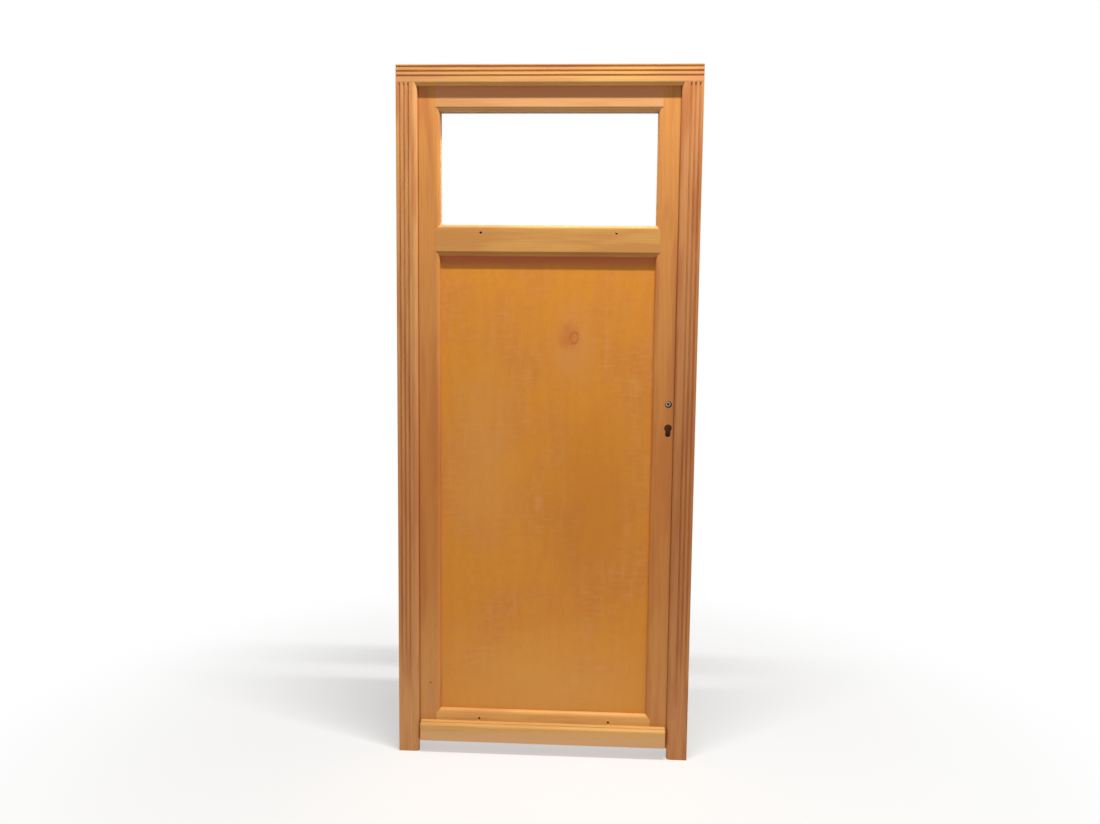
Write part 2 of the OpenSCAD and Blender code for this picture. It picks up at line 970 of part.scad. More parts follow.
// Holes through both sides of the lock body for the follower and the key cylinder
module lock_holes() {
  translate([spindle_x, mid_y, spindle_z]) rotate([90, 0, 0])
    cylinder(h = 2 * lock_t, r = hub_r + slack, center = true);
  translate([0, mid_y + lock_t, 0]) rotate([90, 0, 0])
    linear_extrude(2 * lock_t) key_outline(cylinder_r, cylinder_leg_r, cylinder_drop);
}

// Folded steel tray, open to the front plate and to its cover
module lock_body() {
  color(dark_steel) difference() {
    translate([lock_x, lock_y, lock_low]) cube([lock_d, lock_t - lock_wall, lock_h]);
    translate([lock_x + lock_wall, lock_y + lock_wall, lock_low + lock_wall])
      cube([lock_d, lock_t, lock_h - 2 * lock_wall]);
    lock_holes();
  }
}

module lock_cover() {
  color(dark_steel) difference() {
    translate([lock_x, lock_y + lock_t - lock_wall, lock_low]) cube([lock_d, lock_wall, lock_h]);
    lock_holes();
  }
}

// Follower: a hub with a square hole, and an arm that draws the latch back
module lock_follower() {
  color(zinc) difference() {
    union() {
      translate([spindle_x, mid_y, spindle_z]) rotate([90, 0, 0]) {
        cylinder(h = lock_t, r = hub_r, center = true);
        cylinder(h = bolt_t, r = cam_r, center = true);
      }
      translate([spindle_x - arm_w / 2, arm_y, spindle_z]) cube([arm_w, arm_t, arm_r]);
    }
    translate([spindle_x, mid_y, spindle_z])
      cube([spindle_sq, 2 * lock_t, spindle_sq], center = true);
  }
}

// Latch: a head bevelled on the side that meets the strike, and a tail behind the arm
module latch_bolt() {
  color(zinc) difference() {
    union() {
      translate([latch_back, bolt_y, latch_z - latch_h / 2])
        cube([latch_tip - latch_back, bolt_t, latch_h]);
      translate([lug_x, tail_y, tail_z]) cube([latch_back + over - lug_x, tail_t, tail_h]);
      translate([lug_x, arm_y, tail_z]) cube([lug_w, tail_y + tail_t - arm_y, tail_h]);
    }
    translate([0, 0, latch_z - latch_h]) linear_extrude(2 * latch_h)
      polygon([
        [leaf_x + over, bolt_y - over],
        [leaf_x + over, bolt_y],
        [latch_tip, bolt_y + bolt_t - latch_nib],
        [latch_tip + over, bolt_y + bolt_t - latch_nib],
        [latch_tip + over, bolt_y - over]
      ]);
  }
}

// Points of the round wire at one step along the coil
function coil_ring(i, steps) = [
  for (side = [0 : spring_sides - 1])
    let (
      turn = 360 * spring_turns * i / steps,
      round = 360 * side / spring_sides,
      radius = spring_r + wire_r * cos(round)
    )
    [
      spring_start + spring_l * i / steps + wire_r * sin(round),
      tail_y + radius * cos(turn),
      tail_z + tail_h / 2 + radius * sin(turn)
    ]
];

// Coil spring between the back of the lock body and the lug of the latch
module latch_spring() {
  steps = spring_turns * spring_steps;
  sides = [
    for (i = [0 : steps - 1], side = [0 : spring_sides - 1])
      let (next = (side + 1) % spring_sides)
      [
        i * spring_sides + side,
        i * spring_sides + next,
        (i + 1) * spring_sides + next,
        (i + 1) * spring_sides + side
      ]
  ];
  color(zinc) polyhedron(
    points = [for (i = [0 : steps]) each coil_ring(i, steps)],
    faces = concat(
      [[for (side = [spring_sides - 1 : -1 : 0]) side]],
      sides,
      [[for (side = [0 : spring_sides - 1]) steps * spring_sides + side]]
    )
  );
}

// Dead bolt: a square head, and a tail with a talon for the cam of the key cylinder
module dead_bolt() {
  color(zinc) difference() {
    union() {
      translate([bolt_tip - bolt_l, bolt_y, bolt_low]) cube([bolt_l, bolt_t, bolt_h]);
      translate([bolt_tip - bolt_l - bolt_tail_l, mid_y - bolt_tail_t / 2, bolt_low])
        cube([bolt_tail_l + over, bolt_tail_t, bolt_h]);
    }
    translate([spindle_x - talon_w, bolt_y, bolt_low - over]) cube([talon_w, bolt_t, talon_h + over]);
  }
}

hinge_post();
lock_post();
head();
hinge_side_seal();
lock_side_seal();
head_seal();
hinge_frame_leaf(hinge_zs[0]);  // top_hinge_frame_leaf
hinge_frame_leaf(hinge_zs[1]);  // middle_hinge_frame_leaf
hinge_frame_leaf(hinge_zs[2]);  // bottom_hinge_frame_leaf
hinge_pin(hinge_zs[0]);  // top_hinge_pin
hinge_pin(hinge_zs[1]);  // middle_hinge_pin
hinge_pin(hinge_zs[2]);  // bottom_hinge_pin
hinge_frame_screws();
strike_plate();
strike_screws();
hinge_stile();
lock_stile();
top_rail();
middle_rail();
bottom_rail();
rail_dowels();
door_panel();
panel_top_bead();
panel_bottom_bead();
panel_left_bead();
panel_right_bead();
outer_pane();
inner_pane();
glass_spacer();
glazing_tape();
setting_blocks();
glass_top_bead();
glass_bottom_bead();
glass_left_bead();
glass_right_bead();
bead_pins();
weatherboard();
hinge_door_leaf(hinge_zs[0]);  // top_hinge_door_leaf
hinge_door_leaf(hinge_zs[1]);  // middle_hinge_door_leaf
hinge_door_leaf(hinge_zs[2]);  // bottom_hinge_door_leaf
hinge_door_screws();
lock_body();
lock_cover();
lock_forend();
forend_screws();
latch_spring();
lock_follower();
latch_bolt();
dead_bolt();
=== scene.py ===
import math

import bmesh
import bpy
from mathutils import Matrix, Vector


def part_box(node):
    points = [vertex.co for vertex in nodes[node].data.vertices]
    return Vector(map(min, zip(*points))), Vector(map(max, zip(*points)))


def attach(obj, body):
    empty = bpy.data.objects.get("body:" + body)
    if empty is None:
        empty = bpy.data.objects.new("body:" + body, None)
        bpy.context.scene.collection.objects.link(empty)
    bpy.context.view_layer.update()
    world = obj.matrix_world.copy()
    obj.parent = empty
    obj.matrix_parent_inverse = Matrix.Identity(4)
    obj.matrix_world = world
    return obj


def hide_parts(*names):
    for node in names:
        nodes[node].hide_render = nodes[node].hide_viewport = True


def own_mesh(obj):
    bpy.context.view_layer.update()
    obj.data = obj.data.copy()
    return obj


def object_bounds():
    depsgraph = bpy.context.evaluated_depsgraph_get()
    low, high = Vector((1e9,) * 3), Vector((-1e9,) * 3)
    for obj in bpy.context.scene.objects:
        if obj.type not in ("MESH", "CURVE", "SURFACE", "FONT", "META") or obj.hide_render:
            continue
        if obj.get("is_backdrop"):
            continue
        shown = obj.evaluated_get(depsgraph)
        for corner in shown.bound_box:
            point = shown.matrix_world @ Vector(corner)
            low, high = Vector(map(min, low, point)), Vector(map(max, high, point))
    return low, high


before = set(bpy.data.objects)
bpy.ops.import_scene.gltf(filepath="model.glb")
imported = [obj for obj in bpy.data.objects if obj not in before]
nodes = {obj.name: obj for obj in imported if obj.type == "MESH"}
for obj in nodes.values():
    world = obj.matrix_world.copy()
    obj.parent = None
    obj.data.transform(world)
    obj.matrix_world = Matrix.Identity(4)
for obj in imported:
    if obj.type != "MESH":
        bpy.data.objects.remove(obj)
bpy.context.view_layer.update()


# Head of the frame
# A planed softwood bar that lies on the tenons of both posts. Three grooves run along its face and leave
# reeds, which catch the light as thin bright lines. Satin varnish has turned the wood orange.
MM = 0.001


def linear(code):
    """Linear RGBA of an sRGB hex colour."""
    parts = [int(code[i : i + 2], 16) / 255 for i in (1, 3, 5)]
    return [c / 12.92 if c <= 0.04045 else ((c + 0.055) / 1.055) ** 2.4 for c in parts] + [1]


def add(tree, kind, inputs=None, **settings):
    """One node with its settings; an input is a value or the socket that feeds it."""
    node = tree.nodes.new(kind)
    for name, value in settings.items():
        setattr(node, name, value)
    for name, value in (inputs or {}).items():
        socket = next(s for s in node.inputs if name in (s.identifier, s.name))
        if isinstance(value, bpy.types.NodeSocket):
            tree.links.new(value, socket)
        else:
            socket.default_value = value
    return node


def empty_material(name):
    """A material with no nodes yet, and its tree."""
    material = bpy.data.materials.new(name)
    material.use_nodes = True
    material.node_tree.nodes.clear()
    return material, material.node_tree


def dress(material, *names):
    """Gives CAD nodes a finish in place of their plain one."""
    for name in names:
        nodes[name].material_slots[0].material = material


def cell(*sizes_mm):
    """Mapping scale at which one unit of a pattern has these sizes along X, Y and Z; 0 holds it constant."""
    return [1 / (d * MM) if d else 0 for d in sizes_mm]


# Place of the colour among the outputs of a Mix node
MIXED = 2
# The fibres run along Z after this turn, whichever way the board lies
GRAIN_TURN = {"upright": (0, 0, 0), "level": (0, -math.pi / 2, 0)}
# Lean of the trunk's axis in the board, which opens the rings into long arches
TRUNK_LEAN = (0.012, 0.017)
# How far the slow bends of the trunk push the rings aside
TRUNK_BEND = 16 * MM
# Length of one wave of a wave texture at a scale of 1
WAVE_LENGTH = 2 * math.pi / 20


def varnished_softwood(name, pale, deep, blush, grain, pith_mm, ring_mm):
    """Planed softwood under satin varnish: soft ring lines, fine fibres, pinker and yellower patches.
    The rings are drawn wider apart than the real 2 to 3 mm, so that they show from a few metres away."""
    material, tree = empty_material(name)
    place = add(tree, "ShaderNodeTexCoord").outputs["Object"]
    lean = [a + b for a, b in zip(GRAIN_TURN[grain], (*TRUNK_LEAN, 0))]
    trunk = add(tree, "ShaderNodeMapping", {
        "Vector": place, "Location": [-c * MM for c in pith_mm], "Rotation": lean}).outputs["Vector"]
    straight = add(tree, "ShaderNodeMapping", {
        "Vector": place, "Rotation": GRAIN_TURN[grain]}).outputs["Vector"]

    # Slow bends of the trunk, about 200 mm wide and a metre long, push the rings aside
    bend_field = add(tree, "ShaderNodeMapping", {
        "Vector": straight, "Scale": cell(200, 200, 1000)}).outputs["Vector"]
    bend = add(tree, "ShaderNodeTexNoise", {"Vector": bend_field, "Scale": 1, "Detail": 2}).outputs["Color"]
    bent = add(tree, "ShaderNodeVectorMath", {
        "Vector": bend, "Vector_001": (TRUNK_BEND, TRUNK_BEND, 0), "Vector_002": trunk},
        operation="MULTIPLY_ADD").outputs["Vector"]
    ring = add(tree, "ShaderNodeTexWave", {
        "Vector": bent, "Scale": WAVE_LENGTH / (ring_mm * MM), "Distortion": 0.6, "Detail": 1},
        wave_type="RINGS", rings_direction="Z", wave_profile="SAW").outputs["Fac"]

    # Fibres 2.5 mm wide and 120 mm long, and patches of tone 28 mm wide and 300 mm long
    fibre_field = add(tree, "ShaderNodeMapping", {
        "Vector": straight, "Scale": cell(2.5, 2.5, 120)}).outputs["Vector"]
    fibre = add(tree, "ShaderNodeTexNoise", {
        "Vector": fibre_field, "Scale": 1, "Detail": 4, "Roughness": 0.6}).outputs["Fac"]
    patch_field = add(tree, "ShaderNodeMapping", {
        "Vector": straight, "Location": [c * MM for c in pith_mm],
        "Scale": cell(28, 28, 300)}).outputs["Vector"]
    patch = add(tree, "ShaderNodeTexNoise", {
        "Vector": patch_field, "Scale": 1, "Detail": 2}).outputs["Fac"]

    ring_share = add(tree, "ShaderNodeMapRange", {
        "Value": ring, "From Min": 0.35, "From Max": 1, "To Max": 0.14}).outputs["Result"]
    fibre_share = add(tree, "ShaderNodeMapRange", {
        "Value": fibre, "From Min": 0.42, "From Max": 0.72, "To Max": 0.35}).outputs["Result"]
    patch_share = add(tree, "ShaderNodeMapRange", {
        "Value": patch, "From Min": 0.42, "From Max": 0.66, "To Max": 0.85},
        interpolation_type="SMOOTHSTEP").outputs["Result"]
    colour = linear(pale)
    for share, tone in ((patch_share, blush), (ring_share, deep), (fibre_share, deep)):
        colour = add(tree, "ShaderNodeMix", {
            "Factor_Float": share, "A_Color": colour, "B_Color": linear(tone)},
            data_type="RGBA").outputs[MIXED]

    gloss = add(tree, "ShaderNodeMapRange", {
        "Value": fibre, "From Min": 0.3, "From Max": 0.7, "To Min": 0.36, "To Max": 0.48}).outputs["Result"]
    raised = add(tree, "ShaderNodeBump", {
        "Height": fibre, "Strength": 0.25, "Distance": 0.15 * MM}).outputs["Normal"]
    shader = add(tree, "ShaderNodeBsdfPrincipled", {
        "Base Color": colour, "Roughness": gloss, "Normal": raised, "IOR": 1.5,
        "Specular IOR Level": 0.15, "Coat Weight": 0.05, "Coat Roughness": 0.3}, name="varnish")
    add(tree, "ShaderNodeOutputMaterial", {"Surface": shader.outputs["BSDF"]})
    return material


head_pine = varnished_softwood(
    "head_varnished_pine", "#d8a45f", "#b0753f", "#cf8f5f", "level", (40, 90, 0), 7)
dress(head_pine, "head")


# Posts of the frame
# Two upright bars of the same section, redder wood than the head, scribed under it so that their reeds
# die into its edge. The hinge post carries the hinges, the lock post the strike plate.

# Middle and half width of the rim of a ring-shaped stain, as shares of the stain's half size
RIM_AT = 0.8
RIM_HALF = 0.3


def stain_or_painted_shade(material, middle_mm, size_mm, code, strength, ring=False, rough=0.6):
    """Adds one oval stain or a patch of painted shade, or only its rim, to a finish. Its middle and its size
    are along X, Y and Z. A strength over 1 keeps it solid nearly to its edge, and rough says how ragged that
    edge is."""
    tree = material.node_tree
    shader = tree.nodes["varnish"]
    before = shader.inputs["Base Color"].links[0].from_socket
    place = add(tree, "ShaderNodeTexCoord").outputs["Object"]
    oval = add(tree, "ShaderNodeMapping", {
        "Vector": place, "Location": [-2 * m / d for m, d in zip(middle_mm, size_mm)],
        "Scale": [2 / (d * MM) for d in size_mm]}).outputs["Vector"]
    rough_edge = add(tree, "ShaderNodeTexNoise", {"Vector": oval, "Scale": 2, "Detail": 3}).outputs["Color"]
    wavy = add(tree, "ShaderNodeVectorMath", {
        "Vector": rough_edge, "Vector_001": (rough, 0, rough), "Vector_002": oval},
        operation="MULTIPLY_ADD").outputs["Vector"]
    reach = add(tree, "ShaderNodeVectorMath", {
        "Vector": wavy, "Vector_001": (rough / 2, 0, rough / 2)}, operation="DISTANCE").outputs["Value"]
    if ring:
        beside = add(tree, "ShaderNodeMath", {
            "Value": reach, "Value_001": RIM_AT}, operation="SUBTRACT").outputs["Value"]
        reach = add(tree, "ShaderNodeMath", {
            "Value": beside}, operation="ABSOLUTE").outputs["Value"]
    share = add(tree, "ShaderNodeMapRange", {
        "Value": reach, "From Min": RIM_HALF if ring else 1, "From Max": 0, "To Max": strength},
        interpolation_type="SMOOTHSTEP").outputs["Result"]
    mixed = add(tree, "ShaderNodeMix", {
        "Factor_Float": share, "A_Color": before, "B_Color": linear(code)}, data_type="RGBA")
    tree.links.new(mixed.outputs[MIXED], shader.inputs["Base Color"])


hinge_post_pine = varnished_softwood(
    "hinge_post_varnished_pine", "#d79b5f", "#a96a3e", "#c27e4c", "upright", (-300, 60, 0), 9)
lock_post_pine = varnished_softwood(
    "lock_post_varnished_pine", "#cd8d56", "#a16137", "#b87243", "upright", (540, -20, 0), 8)
# Painted shade: the wood is drawn darker and redder at half height
stain_or_painted_shade(hinge_post_pine, (-424, -31, 780), (500, 80, 1500), "#c47a48", 0.5)
stain_or_painted_shade(lock_post_pine, (424, -31, 780), (500, 80, 1500), "#b36e3c", 0.5)
dress(hinge_post_pine, "hinge_post")
dress(lock_post_pine, "lock_post")


# Seals in the stops
# Extruded black rubber strips with a soft bulb, pressed by their stem into a groove of the frame.
# The rubber is matt and a little cloudy.
def rubber_finish(name, dark, bloom):
    """Matt extruded rubber or foam, with a faint paler bloom in clouds about 20 mm wide."""
    material, tree = empty_material(name)
    place = add(tree, "ShaderNodeTexCoord").outputs["Object"]
    cloud = add(tree, "ShaderNodeTexNoise", {
        "Vector": place, "Scale": 1 / (20 * MM), "Detail": 4}).outputs["Fac"]
    cloudy = add(tree, "ShaderNodeMix", {
        "Factor_Float": cloud, "A_Color": linear(dark), "B_Color": linear(bloom)},
        data_type="RGBA").outputs[MIXED]
    dull = add(tree, "ShaderNodeMapRange", {
        "Value": cloud, "To Min": 0.6, "To Max": 0.8}).outputs["Result"]
    shader = add(tree, "ShaderNodeBsdfPrincipled", {"Base Color": cloudy, "Roughness": dull, "IOR": 1.5})
    add(tree, "ShaderNodeOutputMaterial", {"Surface": shader.outputs["BSDF"]})
    return material


seal_rubber = rubber_finish("extruded_black_rubber", "#1b1917", "#34302c")
dress(seal_rubber, "hinge_side_seal", "lock_side_seal", "head_seal")


# Hinges and strike plate
# Three steel butt hinges with loose pins, and the plate that the latch goes into, all let into the wood.
# They are stamped, zinc plated and faintly brushed along their length.
def plated_steel(name, pale, deep, line_mm, rough):
    """Plated or bright metal: grey and shiny, with brushed lines 25 mm long and dull spots 9 mm wide."""
    material, tree = empty_material(name)
    place = add(tree, "ShaderNodeTexCoord").outputs["Object"]
    line_field = add(tree, "ShaderNodeMapping", {
        "Vector": place, "Scale": cell(line_mm, line_mm, 25)}).outputs["Vector"]
    line = add(tree, "ShaderNodeTexNoise", {"Vector": line_field, "Scale": 1, "Detail": 3}).outputs["Fac"]
    spot = add(tree, "ShaderNodeTexNoise", {
        "Vector": place, "Scale": 1 / (9 * MM), "Detail": 3}).outputs["Fac"]
    toned = add(tree, "ShaderNodeMix", {
        "Factor_Float": spot, "A_Color": linear(pale), "B_Color": linear(deep)},
        data_type="RGBA").outputs[MIXED]
    brushed = add(tree, "ShaderNodeMapRange", {
        "Value": line, "To Min": rough - 0.1, "To Max": rough + 0.1}).outputs["Result"]
    raised = add(tree, "ShaderNodeBump", {
        "Height": line, "Strength": 0.15, "Distance": 0.05 * MM}).outputs["Normal"]
    shader = add(tree, "ShaderNodeBsdfPrincipled", {
        "Base Color": toned, "Metallic": 1, "Roughness": brushed, "Normal": raised})
    add(tree, "ShaderNodeOutputMaterial", {"Surface": shader.outputs["BSDF"]})
    return material


HINGES = ("top", "middle", "bottom")
# Zinc plate is pale and half dull, and the turned steel of the pins is darker and glossier
zinc_plate = plated_steel("zinc_plated_steel", "#c6c8c9", "#9d9fa1", 0.6, 0.36)
turned_pin = plated_steel("turned_bright_steel", "#b4b5b7", "#8c8e91", 0.4, 0.28)
for hinge in HINGES:
    dress(zinc_plate, f"{hinge}_hinge_frame_leaf", f"{hinge}_hinge_door_leaf")
    dress(turned_pin, f"{hinge}_hinge_pin")
dress(zinc_plate, "strike_plate")


# Wood screws
# Countersunk steel screws with a cross recess and a cut thread, twelve in each row of hinge leaves and two
# in each lock plate. They are yellow passivated, and their heads lie flush with the plates.

# Height of the head and radius of the core, as shares of the head's radius
HEAD_SHARE = 0.5
CORE_SHARE = 0.42
# The two bars of the cross recess: length and width in radii of the head, depth in heights of the head
RECESS_LENGTH, RECESS_WIDTH, RECESS_DEPTH = 1.15, 0.26, 1.3
# The thread stands this far out of the core and goes round it this often; the tip ends in a small flat
THREAD_RIDGE = 0.3 * MM
THREAD_TURNS = 9
SCREW_TIP = 4 * MM
TIP_FLAT = 0.2 * MM
# Corners of a CAD node's loose triangles that lie this close are the same corner
SAME_CORNER = 0.002 * MM


def solids_of(name):
    """Lowest and highest corner of each separate solid in a CAD node."""
    work = bmesh.new()
    work.from_mesh(nodes[name].data)
    bmesh.ops.remove_doubles(work, verts=work.verts, dist=SAME_CORNER)
    left = set(work.verts)
    found = []
    while left:
        group, edge_of_group = set(), [left.pop()]
        while edge_of_group:
            vert = edge_of_group.pop()
            group.add(vert)
            near = {e.other_vert(vert) for e in vert.link_edges} & left
            left -= near
            edge_of_group += near
        points = [v.co for v in group]
        found.append([Vector(pick(p[i] for p in points) for i in range(3)) for pick in (min, max)])
    work.free()
    return sorted(found, key=lambda corners: tuple(corners[0]))


def screw_tree(finish):
    """Geometry nodes for one cross-recessed wood screw on each point, driven along the point's own way."""
    tree = bpy.data.node_groups.new("cross_recessed_wood_screw", "GeometryNodeTree")
    tree.interface.new_socket("Geometry", in_out="INPUT", socket_type="NodeSocketGeometry")
    for label in ("Head Radius", "Head Height", "Core Radius", "Length", "Tip"):
        tree.interface.new_socket(label, in_out="INPUT", socket_type="NodeSocketFloat")
    tree.interface.new_socket("Geometry", in_out="OUTPUT", socket_type="NodeSocketGeometry")
    size = add(tree, "NodeGroupInput").outputs

    head = add(tree, "GeometryNodeMeshCone", {
        "Vertices": 24, "Radius Bottom": size["Head Radius"], "Radius Top": size["Core Radius"],
        "Depth": size["Head Height"]}).outputs["Mesh"]
    slot_l = add(tree, "ShaderNodeMath", {
        "Value": size["Head Radius"], "Value_001": RECESS_LENGTH}, operation="MULTIPLY").outputs["Value"]
    slot_w = add(tree, "ShaderNodeMath", {
        "Value": size["Head Radius"], "Value_001": RECESS_WIDTH}, operation="MULTIPLY").outputs["Value"]
    slot_d = add(tree, "ShaderNodeMath", {
        "Value": size["Head Height"], "Value_001": RECESS_DEPTH}, operation="MULTIPLY").outputs["Value"]
    for x, y in ((slot_l, slot_w), (slot_w, slot_l)):
        box = add(tree, "ShaderNodeCombineXYZ", {"X": x, "Y": y, "Z": slot_d}).outputs["Vector"]
        bar = add(tree, "GeometryNodeMeshCube", {"Size": box}).outputs["Mesh"]
        head = add(tree, "GeometryNodeMeshBoolean", {"Mesh 1": head, "Mesh 2": bar}, operation="DIFFERENCE",
                   solver="EXACT").outputs["Mesh"]

    past_head = add(tree, "ShaderNodeMath", {
        "Value": size["Length"], "Value_001": size["Head Height"]}, operation="SUBTRACT").outputs["Value"]
    shank_l = add(tree, "ShaderNodeMath", {
        "Value": past_head, "Value_001": size["Tip"]}, operation="SUBTRACT").outputs["Value"]
    shank = add(tree, "GeometryNodeMeshCone", {
        "Vertices": 16, "Radius Bottom": size["Core Radius"], "Radius Top": size["Core Radius"],
        "Depth": shank_l}).outputs["Mesh"]
    tip = add(tree, "GeometryNodeMeshCone", {
        "Vertices": 16, "Radius Bottom": size["Core Radius"], "Radius Top": TIP_FLAT,
        "Depth": size["Tip"]}).outputs["Mesh"]
    winding = add(tree, "GeometryNodeCurveSpiral", {
        "Resolution": 14, "Rotations": THREAD_TURNS, "Start Radius": size["Core Radius"],
        "End Radius": size["Core Radius"], "Height": shank_l}).outputs["Curve"]
    ridge = add(tree, "GeometryNodeCurvePrimitiveCircle", {
        "Resolution": 4, "Radius": THREAD_RIDGE}).outputs["Curve"]
    thread = add(tree, "GeometryNodeCurveToMesh", {
        "Curve": winding, "Profile Curve": ridge, "Fill Caps": True}).outputs["Mesh"]
    at_shank = add(tree, "ShaderNodeCombineXYZ", {"Z": size["Head Height"]}).outputs["Vector"]
    before_tip = add(tree, "ShaderNodeMath", {
        "Value": size["Length"], "Value_001": size["Tip"]}, operation="SUBTRACT").outputs["Value"]
    at_tip = add(tree, "ShaderNodeCombineXYZ", {"Z": before_tip}).outputs["Vector"]
    screw = add(tree, "GeometryNodeJoinGeometry")
    tree.links.new(head, screw.inputs["Geometry"])
    for mesh, at in ((shank, at_shank), (thread, at_shank), (tip, at_tip)):
        moved = add(tree, "GeometryNodeTransform", {"Geometry": mesh, "Translation": at})
        tree.links.new(moved.outputs["Geometry"], screw.inputs["Geometry"])

    way = add(tree, "GeometryNodeInputNamedAttribute", {"Name": "way"}, data_type="FLOAT_VECTOR")
    turn = add(tree, "FunctionNodeAlignRotationToVector", {
        "Vector": way.outputs["Attribute"]}, axis="Z").outputs["Rotation"]
    placed = add(tree, "GeometryNodeInstanceOnPoints", {
        "Points": size["Geometry"], "Instance": screw.outputs["Geometry"],
        "Rotation": turn}).outputs["Instances"]
    real = add(tree, "GeometryNodeRealizeInstances", {"Geometry": placed}).outputs["Geometry"]
    made = add(tree, "GeometryNodeSetMaterial", {"Geometry": real, "Material": finish}).outputs["Geometry"]
    add(tree, "NodeGroupOutput", {"Geometry": made})
    return tree


def grown(name, tree, seed, sizes):
    """Plain mesh object that a geometry node tree makes from a seed mesh, at the sizes given."""
    carrier = bpy.data.objects.new(name + "_carrier", seed)
    bpy.context.scene.collection.objects.link(carrier)
    maker = carrier.modifiers.new(name, "NODES")
    maker.node_group = tree
    for item in tree.interface.items_tree:
        if item.name in sizes:
            maker[item.identifier] = sizes[item.name]
    ready = carrier.evaluated_get(bpy.context.evaluated_depsgraph_get())
    piece = bpy.data.objects.new(name, bpy.data.meshes.new_from_object(ready))
    bpy.context.scene.collection.objects.link(piece)
    bpy.data.objects.remove(carrier)
    return piece


# Yellow passivated zinc has a straw tint
yellow_zinc = plated_steel("yellow_passivated_steel", "#cdb988", "#a8935f", 0.5, 0.32)
screws = screw_tree(yellow_zinc)
# Each row of screws: its CAD node, the body it is in, and the way its screws are driven
for row, body, drive in (("hinge_frame_screws", "frame", -1), ("strike_screws", "frame", 1),
                         ("hinge_door_screws", "door", 1), ("forend_screws", "door", -1)):
    boxes = solids_of(row)
    low, high = boxes[0]
    head_at = [Vector((lo.x if drive > 0 else hi.x, (lo.y + hi.y) / 2, (lo.z + hi.z) / 2))
               for lo, hi in boxes]
    points = bpy.data.meshes.new(row + "_points")
    points.from_pydata(head_at, [], [])
    points.attributes.new("way", "FLOAT_VECTOR", "POINT")
    points.attributes["way"].data.foreach_set("vector", [drive, 0, 0] * len(head_at))
    head_radius = (high.z - low.z) / 2
    piece = grown("cross_" + row, screws, points, {
        "Head Radius": head_radius, "Head Height": head_radius * HEAD_SHARE,
        "Core Radius": head_radius * CORE_SHARE, "Length": high.x - low.x, "Tip": SCREW_TIP})
    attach(piece, body)
    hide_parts(row)


# Stiles of the door
# Two upright softwood boards with an ovolo moulding run on the inner edges, drilled for the rail dowels.
# The lock stile is mortised for the lock and bored for the spindle and the key cylinder.
hinge_stile_pine = varnished_softwood(
    "hinge_stile_varnished_pine", "#d3904c", "#ad6a32", "#c27a44", "upright", (-330, -30, 0), 8)
lock_stile_pine = varnished_softwood(
    "lock_stile_varnished_pine", "#d3904c", "#ad6a32", "#c27a44", "upright", (330, 70, 0), 9)
# Painted shade darker and redder at half height, a paler foot, painted shade in a strip along the edge by
# the frame, and one small dead knot
# Painted shade: darker and redder at half height
stain_or_painted_shade(hinge_stile_pine, (-365, -15, 800), (500, 80, 1400), "#c57632", 0.5)
stain_or_painted_shade(lock_stile_pine, (365, -15, 800), (500, 80, 1400), "#c57634", 0.4)
# Paler towards the foot
stain_or_painted_shade(hinge_stile_pine, (-365, -15, 130), (300, 40, 900), "#e3a765", 0.4)
stain_or_painted_shade(lock_stile_pine, (365, -15, 130), (300, 40, 900), "#e3a765", 0.15)
stain_or_painted_shade(hinge_stile_pine, (-358, -15, 222), (9, 40, 9), "#4a2410", 1)
# Painted shade: a dark strip along each stile's edge by the frame
stain_or_painted_shade(hinge_stile_pine, (-392, -15, 1000), (7, 40, 9000), "#6e3c18", 0.7, rough=0.1)
stain_or_painted_shade(lock_stile_pine, (392, -15, 1000), (7, 40, 9000), "#6e3c18", 0.7, rough=0.1)
dress(hinge_stile_pine, "hinge_stile")
dress(lock_stile_pine, "lock_stile")


# Rails of the door
# Three level boards whose moulding is mitred over that of the stiles, glued on beech dowels.
# The middle and bottom rail have two slanting drain holes each.
top_rail_pine = varnished_softwood(
    "top_rail_varnished_pine", "#d6a168", "#b27c48", "#ce945d", "level", (-60, 40, 0), 8)
middle_rail_pine = varnished_softwood(
    "middle_rail_varnished_pine", "#d59d55", "#b1783b", "#c98a4c", "level", (-40, 55, 0), 9)
bottom_rail_pine = varnished_softwood(
    "bottom_rail_varnished_pine", "#ecb062", "#c48745", "#de9c5a", "level", (-80, 35, 0), 7)
# Painted shade: near black in the drain holes, a pinker tint in the shade under the head, and a darker
# moulding under the middle rail. The top of its upper moulding is painted darker to tone down the lamp's
# highlight there
# Painted shade in the drain holes
for drain_x in (-202, 208):
    stain_or_painted_shade(middle_rail_pine, (drain_x, -4, 1634), (12, 21, 16), "#24140a", 3, rough=0.1)
    stain_or_painted_shade(bottom_rail_pine, (drain_x, -4, 107), (12, 21, 16), "#24140a", 3, rough=0.1)
# Painted shade: a pinker tint where the head shades the top rail
stain_or_painted_shade(top_rail_pine, (0, -15, 2056), (3000, 60, 100), "#d6895c", 0.9, rough=0.1)
# Painted shade on the top of the upper moulding, toning down the lamp's highlight
stain_or_painted_shade(middle_rail_pine, (0, -2, 1658), (3000, 26, 15), "#b27633", 0.9, rough=0.1)
# Painted shade on the moulding under the middle rail
stain_or_painted_shade(middle_rail_pine, (0, -8, 1573), (3000, 60, 26), "#a86238", 0.5, rough=0.1)
dress(top_rail_pine, "top_rail")
dress(middle_rail_pine, "middle_rail")
dress(bottom_rail_pine, "bottom_rail")
dowel_beech = varnished_softwood(
    "turned_beech", "#dcbb8e", "#c49a68", "#d2a878", "level", (0, 30, 0), 6)
dress(dowel_beech, "rail_dowels")


